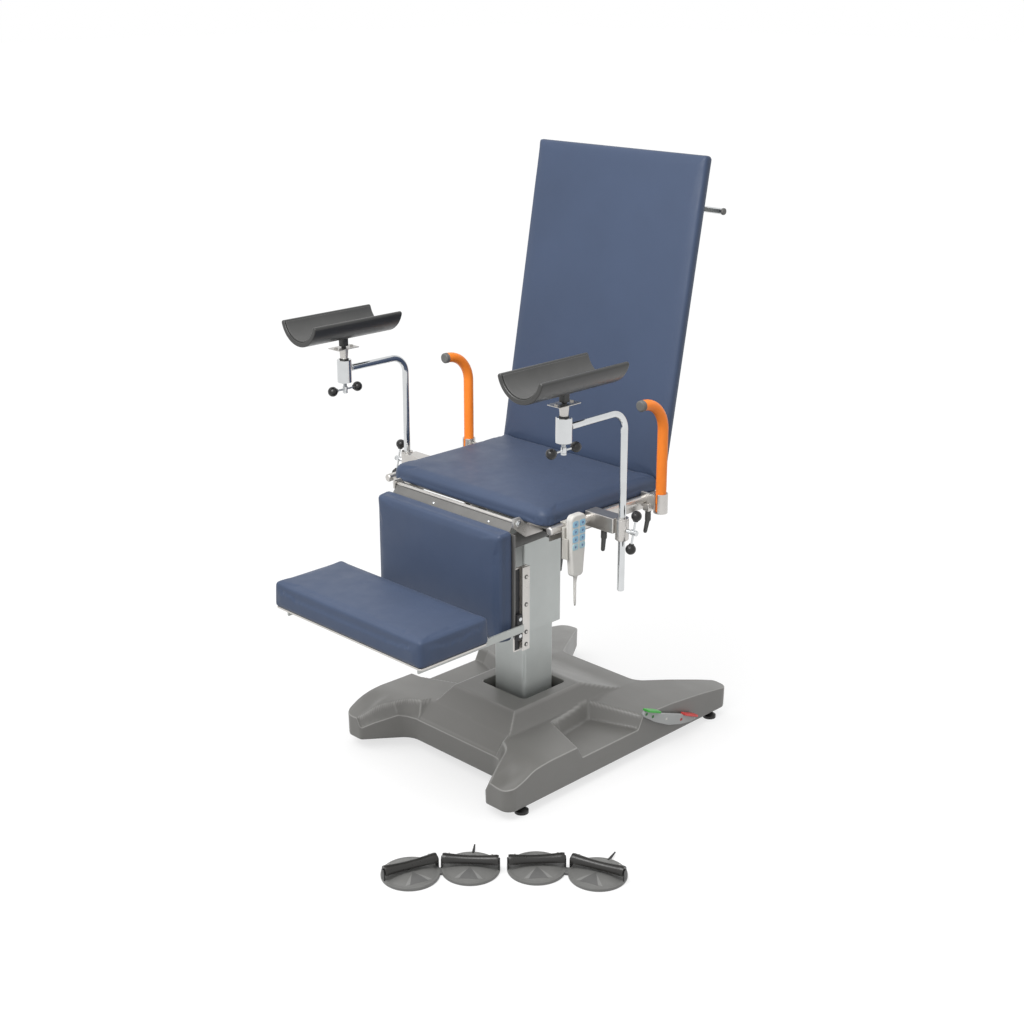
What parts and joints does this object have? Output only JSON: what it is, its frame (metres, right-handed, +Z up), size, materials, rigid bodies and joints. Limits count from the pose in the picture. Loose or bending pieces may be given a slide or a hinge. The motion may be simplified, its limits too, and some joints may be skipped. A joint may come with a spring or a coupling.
{
  "type": "proctology exam chair",
  "caption": "Examination chair on a lifting column with tilting seat, reclining back, swing-up leg section, sliding knee rest, leg troughs, hand grips and foot switches.",
  "frame": {"origin": "on the floor, under the axis of the lifting column", "axes": "+Z up, the chair faces -Y, +X is to the right for someone who looks at its front"},
  "size_m": [1.1893, 1.328, 1.6357],
  "materials": {
    "navy_vinyl": "soft satin vinyl",
    "base_plastic": "moulded matte",
    "black_steel": "satin black",
    "black_rubber": "matte",
    "column_aluminium": "anodised satin",
    "stainless": "brushed",
    "chrome": "polished",
    "grey_paint": "powder coat",
    "black_shell": "skinned foam with leather grain",
    "orange_grip": "satin",
    "lever_grey": "fine texture",
    "handset_white": "satin",
    "key_blue": "satin membrane",
    "pad_green": "satin",
    "pad_red": "satin",
    "switch_grey": "moulded matte"
  },
  "bodies": {
    "base": {"base_cover": "base_plastic", "base_frame": "black_steel", "levelling_feet": "black_rubber", "column_lower": "column_aluminium", "lift_drive": "black_steel", "foot_switch_left": "switch_grey", "foot_switch_right": "switch_grey"},
    "brake": {"brake_pedal": "grey_paint", "brake_pad_green": "pad_green", "brake_pad_red": "pad_red"},
    "rocker_1": {"rocker_1": "black_rubber"},
    "rocker_2": {"rocker_2": "black_rubber"},
    "rocker_3": {"rocker_3": "black_rubber"},
    "rocker_4": {"rocker_4": "black_rubber"},
    "column": {"column_upper": "column_aluminium", "column_head": "stainless", "lift_rod": "chrome"},
    "tilt_housing": {"tilt_actuator": "black_steel"},
    "tilt_rod": {"tilt_rod": "chrome"},
    "seat": {"seat_frame": "stainless", "seat_cushion": "navy_vinyl", "side_rails": "chrome", "leg_hinge_rod": "stainless", "control_box": "lever_grey", "holder_brackets": "stainless", "handle_sockets": "stainless", "handset_holder": "handset_white", "handset": "handset_white", "handset_keys": "key_blue", "handset_cord": "handset_white"},
    "back": {"back_frame": "grey_paint", "back_cushion": "navy_vinyl", "back_bar": "chrome"},
    "back_housing": {"back_actuator": "black_steel"},
    "back_rod": {"back_rod": "chrome"},
    "leg": {"leg_frame": "stainless", "leg_cushion": "navy_vinyl", "leg_guides": "stainless"},
    "leg_housing": {"leg_actuator": "black_steel"},
    "leg_rod": {"leg_rod": "chrome"},
    "knee_rest": {"foot_tray": "stainless", "foot_cushion": "navy_vinyl"},
    "bush_left": {"swivel_bush_left": "stainless"},
    "post_left": {"holder_post_left": "chrome"},
    "head_left": {"head_stem_left": "stainless"},
    "shell_left": {"holder_shell_left": "black_shell"},
    "socket_screw_left": {"socket_screw_left": "chrome"},
    "clamp_screw_left": {"clamp_screw_left": "chrome"},
    "grip_left": {"handle_left": "orange_grip"},
    "bracket_lever_left": {"bracket_lever_left": "lever_grey"},
    "handle_lever_left": {"handle_lever_left": "lever_grey"},
    "bush_right": {"swivel_bush_right": "stainless"},
    "post_right": {"holder_post_right": "chrome"},
    "head_right": {"head_stem_right": "stainless"},
    "shell_right": {"holder_shell_right": "black_shell"},
    "socket_screw_right": {"socket_screw_right": "chrome"},
    "clamp_screw_right": {"clamp_screw_right": "chrome"},
    "grip_right": {"handle_right": "orange_grip"},
    "bracket_lever_right": {"bracket_lever_right": "lever_grey"},
    "handle_lever_right": {"handle_lever_right": "lever_grey"}
  },
  "joints": [
    {"name": "column_lift", "type": "slide", "parent": "base", "child": "column", "axis": [0, 0, 1], "range_m": [-0.165, 0.05]},
    {"name": "seat_tilt", "type": "hinge", "parent": "column", "child": "seat", "pos_m": [0, 0, 0.729], "axis": [1, 0, 0], "range_deg": [-10, 10]},
    {"name": "back_recline", "type": "hinge", "parent": "seat", "child": "back", "pos_m": [0, 0.236, 0.756], "axis": [-1, 0, 0], "range_deg": [0, 75]},
    {"name": "leg_raise", "type": "hinge", "parent": "seat", "child": "leg", "pos_m": [0, -0.258, 0.78], "axis": [-1, 0, 0], "range_deg": [0, 85]},
    {"name": "knee_rest_height", "type": "slide", "parent": "leg", "child": "knee_rest", "axis": [0, 0, 1], "range_m": [-0.03, 0.115]},
    {"name": "brake_rock", "type": "hinge", "parent": "base", "child": "brake", "pos_m": [0.31, 0.258, 0.092], "axis": [1, 0, 0], "range_deg": [0, 45]},
    {"name": "rocker_1_rock", "type": "hinge", "parent": "base", "child": "rocker_1", "pos_m": [0.31, -0.707, 0.026], "axis": [0.3256, 0.9455, 0], "range_deg": [-7, 7], "stiffness_Nm_per_rad": 2},
    {"name": "rocker_2_rock", "type": "hinge", "parent": "base", "child": "rocker_2", "pos_m": [0.397, -0.587, 0.026], "axis": [0.7547, 0.6561, 0], "range_deg": [-7, 7], "stiffness_Nm_per_rad": 2},
    {"name": "rocker_3_rock", "type": "hinge", "parent": "base", "child": "rocker_3", "pos_m": [0.51, -0.471, 0.026], "axis": [0.6561, 0.7547, 0], "range_deg": [-7, 7], "stiffness_Nm_per_rad": 2},
    {"name": "rocker_4_rock", "type": "hinge", "parent": "base", "child": "rocker_4", "pos_m": [0.635, -0.385, 0.026], "axis": [0.9455, 0.3256, 0], "range_deg": [-7, 7], "stiffness_Nm_per_rad": 2},
    {"name": "tilt_drive_swing", "type": "hinge", "parent": "column", "child": "tilt_housing", "pos_m": [0, 0.112, 0.47], "axis": [1, 0, 0], "range_deg": [-0.87, 0.87]},
    {"name": "tilt_drive_stroke", "type": "slide", "parent": "tilt_housing", "child": "tilt_rod", "axis": [0, 0.1527, 0.9883], "range_m": [-0.0271, 0.0271]},
    {"name": "back_drive_swing", "type": "hinge", "parent": "seat", "child": "back_housing", "pos_m": [-0.135, -0.07, 0.692], "axis": [1, 0, 0], "range_deg": [-0.5, 7.39]},
    {"name": "back_drive_stroke", "type": "slide", "parent": "back_housing", "child": "back_rod", "axis": [0, 1, 0], "range_m": [-0.0744, 0.001]},
    {"name": "leg_drive_swing", "type": "hinge", "parent": "seat", "child": "leg_housing", "pos_m": [0.135, 0.064, 0.692], "axis": [1, 0, 0], "range_deg": [-10.82, 0.5]},
    {"name": "leg_drive_stroke", "type": "slide", "parent": "leg_housing", "child": "leg_rod", "axis": [0, -0.9997, -0.026], "range_m": [-0.001, 0.1152]},
    {"name": "post_swivel_left", "type": "hinge", "parent": "seat", "child": "bush_left", "pos_m": [-0.407, -0.062, 0.76], "axis": [0, 0, 1], "range_deg": [-90, 0]},
    {"name": "post_height_left", "type": "slide", "parent": "bush_left", "child": "post_left", "axis": [0, 0, 1], "range_m": [-0.08, 0.1]},
    {"name": "head_swivel_left", "type": "hinge", "parent": "post_left", "child": "head_left", "pos_m": [-0.407, -0.28, 1.07], "axis": [0, 0, 1], "range_deg": [-90, 90]},
    {"name": "shell_tilt_left", "type": "hinge", "parent": "head_left", "child": "shell_left", "pos_m": [-0.407, -0.28, 1.143], "axis": [1, 0, 0], "range_deg": [-20, 20]},
    {"name": "socket_screw_turn_left", "type": "hinge", "parent": "post_left", "child": "socket_screw_left", "pos_m": [-0.407, -0.28, 1.02], "axis": [0, 0, 1], "range_deg": [-90, 90]},
    {"name": "clamp_screw_turn_left", "type": "hinge", "parent": "seat", "child": "clamp_screw_left", "pos_m": [-0.437, -0.062, 0.759], "axis": [1, 0, 0], "range_deg": [-90, 90]},
    {"name": "grip_lift_left", "type": "slide", "parent": "seat", "child": "grip_left", "axis": [0, 0, 1], "range_m": [0, 0.04]},
    {"name": "bracket_lever_turn_left", "type": "hinge", "parent": "seat", "child": "bracket_lever_left", "pos_m": [-0.347, -0.062, 0.74], "axis": [0, 0, 1], "range_deg": [-60, 60]},
    {"name": "handle_lever_turn_left", "type": "hinge", "parent": "seat", "child": "handle_lever_left", "pos_m": [-0.322, 0.14, 0.73], "axis": [0, 0, 1], "range_deg": [-60, 60]},
    {"name": "post_swivel_right", "type": "hinge", "parent": "seat", "child": "bush_right", "pos_m": [0.407, -0.062, 0.76], "axis": [0, 0, 1], "range_deg": [0, 90]},
    {"name": "post_height_right", "type": "slide", "parent": "bush_right", "child": "post_right", "axis": [0, 0, 1], "range_m": [-0.08, 0.1]},
    {"name": "head_swivel_right", "type": "hinge", "parent": "post_right", "child": "head_right", "pos_m": [0.407, -0.28, 1.07], "axis": [0, 0, 1], "range_deg": [-90, 90]},
    {"name": "shell_tilt_right", "type": "hinge", "parent": "head_right", "child": "shell_right", "pos_m": [0.407, -0.28, 1.143], "axis": [1, 0, 0], "range_deg": [-20, 20]},
    {"name": "socket_screw_turn_right", "type": "hinge", "parent": "post_right", "child": "socket_screw_right", "pos_m": [0.407, -0.28, 1.02], "axis": [0, 0, 1], "range_deg": [-90, 90]},
    {"name": "clamp_screw_turn_right", "type": "hinge", "parent": "seat", "child": "clamp_screw_right", "pos_m": [0.437, -0.062, 0.759], "axis": [1, 0, 0], "range_deg": [-90, 90]},
    {"name": "grip_lift_right", "type": "slide", "parent": "seat", "child": "grip_right", "axis": [0, 0, 1], "range_m": [0, 0.04]},
    {"name": "bracket_lever_turn_right", "type": "hinge", "parent": "seat", "child": "bracket_lever_right", "pos_m": [0.347, -0.062, 0.74], "axis": [0, 0, 1], "range_deg": [-60, 60]},
    {"name": "handle_lever_turn_right", "type": "hinge", "parent": "seat", "child": "handle_lever_right", "pos_m": [0.322, 0.14, 0.73], "axis": [0, 0, 1], "range_deg": [-60, 60]}
  ],
  "couplings": [
    {"joint": "tilt_drive_swing", "follows": "seat_tilt", "ratio": 0.03709},
    {"joint": "tilt_drive_stroke", "follows": "seat_tilt", "m_per_rad": 0.14981},
    {"joint": "back_drive_swing", "follows": "back_recline", "ratio": 0.09181},
    {"joint": "back_drive_stroke", "follows": "back_recline", "m_per_rad": -0.05604},
    {"joint": "leg_drive_swing", "follows": "leg_raise", "ratio": -0.12147},
    {"joint": "leg_drive_stroke", "follows": "leg_raise", "m_per_rad": 0.07699}
  ]
}
